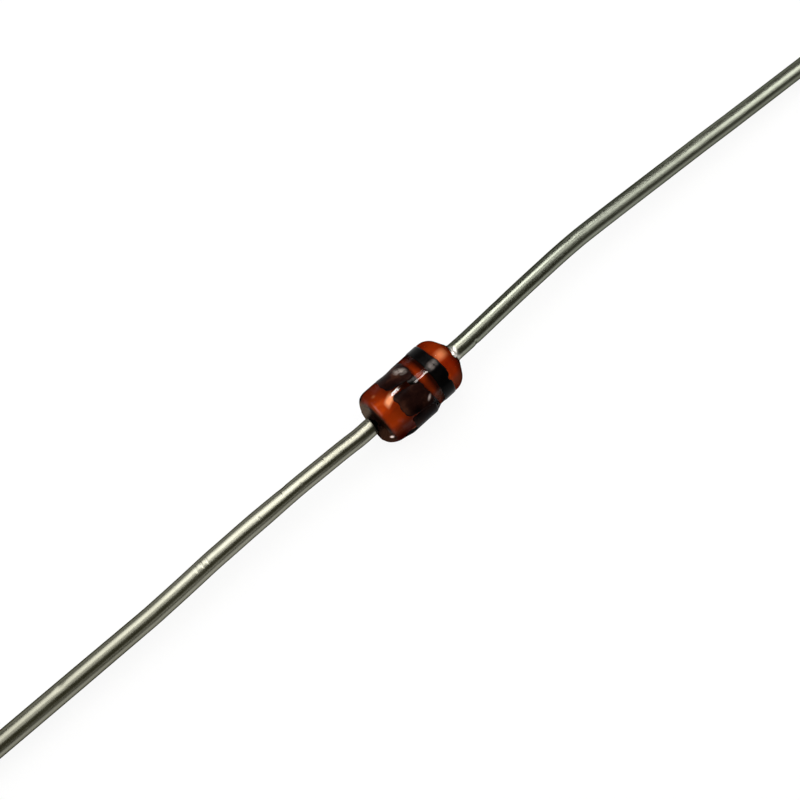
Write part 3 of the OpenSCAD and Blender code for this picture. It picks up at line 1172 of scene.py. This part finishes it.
def floor_material():
    """Pale floor: part paint, which takes the shadow, and part white background."""
    t = material_tree("pale_floor")
    path = t.add("ShaderNodeLightPath").outputs
    seen = t.calc("MAXIMUM", path["Is Camera Ray"], path["Is Glossy Ray"])
    seen = t.calc("MAXIMUM", seen, path["Is Transmission Ray"])
    away = t.measure("LENGTH", t.place())
    level = t.times(seen, t.span(away, FLOOR_NEAR, FLOOR_FAR, FLOOR_GLOW, 1.0))
    glow = t.add("ShaderNodeEmission", {"Color": BACKGROUND, "Strength": level})
    paint = t.add("ShaderNodeBsdfDiffuse", {"Color": FLOOR_PAINT})
    return t.done(t.add("ShaderNodeAddShader", {0: paint.outputs[0], 1: glow.outputs[0]}))


def floor():
    bm = bmesh.new()
    bmesh.ops.create_grid(bm, x_segments=2, y_segments=2, size=FLOOR_HALF)
    mesh = bpy.data.meshes.new("floor")
    bm.to_mesh(mesh)
    bm.free()
    mesh.materials.append(floor_material())
    piece = bpy.data.objects.new("floor", mesh)
    bpy.context.scene.collection.objects.link(piece)


def world():
    """Dim overhead, pale near the horizon and paler on the anode's side, behind a white background."""
    t = Tree(bpy.data.worlds.new("studio"), "ShaderNodeOutputWorld")
    way = t.split(t.add("ShaderNodeTexCoord").outputs["Generated"])
    sky = t.add("ShaderNodeBackground", {
        "Color": t.ramp(way["Z"], SKY_TONES),
        "Strength": t.span(way["X"], -0.2, 0.5, 0.9, 0.55),
    })
    white = t.add("ShaderNodeBackground", {"Color": BACKGROUND})
    seen = t.add("ShaderNodeLightPath").outputs["Is Camera Ray"]
    bpy.context.scene.world = t.done(t.blend(seen, sky, white))


# Soft boxes: ranges of degrees from straight up towards +X and towards +Y, and radiance
LAMP_HEIGHT = 200 * MM
LAMP_POWER = 4
LAMPS = (
    ("key_far", (-42, -24), (18, 60), 2.3),
    ("key_far_low", (-42, -24), (-9, 18), 0.9),
    ("key_far_high", (-42, -24), (60, 76), 1.5),
    ("key_left", (-24, -9), (22, 60), 3.3),
    ("key_left_low", (-24, -9), (-4, 22), 0.75),
    ("key_left_high", (-24, -9), (60, 74), 1.2),
    ("key_near", (-9, 6.3), (4, 46), 4.0),
    ("key_near_low", (-9, 6.3), (-12, 4), 1.3),
    ("key_near_high", (-9, 6.3), (46, 64), 1.6),
    ("key_root", (14, 18), (-8, 24), 1.5),
    ("key_root_high", (15.5, 19), (24, 42), 3.2),
    ("key_middle", (19, 32.5), (24, 56), 5.4),
    ("key_middle_low", (18, 27), (-6, 24), 1.25),
    ("key_right_near", (30, 38), (-14, 10), 1.7),
    ("key_right", (38, 58), (-20, 22), 3.6),
    ("key_right_low", (38, 58), (-40, -20), 1.5),
    ("fill_left", (-46, -7), (-58, -52), 0.17),
    ("fill_left_low", (-46, -7), (-70, -58), 0.5),
)

# Lamps seen only in reflections: the same, and the degrees by which each leans from +Y towards +X
GLINT_COLOUR = (1.0, 0.91, 0.87)
GLINTS = (
    ("glint_left", (9.1, 10.0), (26, 38), 34, 4.3),
    ("glint_right", (10.1, 12.2), (2.5, 10), 17, 0),
    ("glint_soft", (10.2, 11.4), (12, 26), 2.5, 0),
)


def lamp(name, across, up, radiance):
    """A soft box on a level plane overhead."""
    low, high = (Vector((math.tan(math.radians(a)), math.tan(math.radians(b)))) for a, b in zip(across, up))
    data = bpy.data.lights.new(name, "AREA")
    data.shape = "RECTANGLE"
    data.size, data.size_y = (high - low) * LAMP_HEIGHT
    data.energy = LAMP_POWER * radiance * data.size * data.size_y
    piece = bpy.data.objects.new(name, data)
    piece.location = ((low + high) / 2 * LAMP_HEIGHT).to_3d() + Vector((0, 0, LAMP_HEIGHT + AXIS_H * MM))
    piece.visible_camera = False
    bpy.context.scene.collection.objects.link(piece)
    return piece


def glint(name, across, up, radiance, lean):
    """A lamp that only reflections show."""
    piece = lamp(name, across, up, radiance)
    piece.rotation_euler.z = -math.radians(lean)
    piece.data.color = GLINT_COLOUR
    piece.visible_diffuse = False
    piece.visible_transmission = False


# Camera: distance and sensor in millimetres, places in the picture in pixels, clipping in metres
ELEVATION = math.radians(78)
TURN = math.radians(42.62)
DISTANCE = 21
IMAGE_PX = 800
CENTRE_PX = IMAGE_PX / 2
FOCAL_PX = 800
BODY_PX = (411.9, 390.1)
SENSOR_W = 36
CLIP = (0.5 * MM, 20)


def camera():
    right = Vector((math.cos(TURN), -math.sin(TURN), 0))
    away = Vector((math.sin(TURN), math.cos(TURN), 0))
    forward = math.cos(ELEVATION) * away - math.sin(ELEVATION) * Vector((0, 0, 1))
    up = right.cross(forward)
    reach = forward + (BODY_PX[0] - CENTRE_PX) / FOCAL_PX * right + (CENTRE_PX - BODY_PX[1]) / FOCAL_PX * up
    data = bpy.data.cameras.new("camera")
    data.sensor_width = SENSOR_W
    data.lens = SENSOR_W * FOCAL_PX / IMAGE_PX
    data.clip_start, data.clip_end = CLIP
    piece = bpy.data.objects.new("camera", data)
    stand = Matrix.Translation((Vector((0, 0, AXIS_H)) - DISTANCE * reach) * MM)
    piece.matrix_world = stand @ Matrix((right, up, -forward)).transposed().to_4x4()
    bpy.context.scene.collection.objects.link(piece)
    bpy.context.scene.camera = piece


def build():
    wire = wire_material()
    oxide = stud_material()
    ink = ink_material()
    thin_ink = thin_ink_material()
    glass_envelope(glass_material())
    stud("anode_slug", ANODE_FACE, ANODE_INNER, oxide, "anode_stud")
    stud("cathode_slug", CATHODE_INNER, CATHODE_FACE, oxide, "cathode_stud")
    silicon_die(silicon_material())
    contact_bump(silver_material())
    cathode_band(ink)
    for name, *block in MARKS:
        mark_block(name, block, thin_ink)
    lead(CATHODE, Matrix.Translation((CATHODE_FACE, 0, AXIS_H)), wire)
    tin_droplet(wire)
    lead(ANODE, Matrix.Translation((ANODE_FACE, 0, AXIS_H)) @ Matrix.Rotation(math.pi, 4, "Z"), wire)


bpy.context.scene.view_settings.view_transform = "Standard"
build()
floor()
world()
for row in LAMPS:
    lamp(*row)
for row in GLINTS:
    glint(*row)
camera()
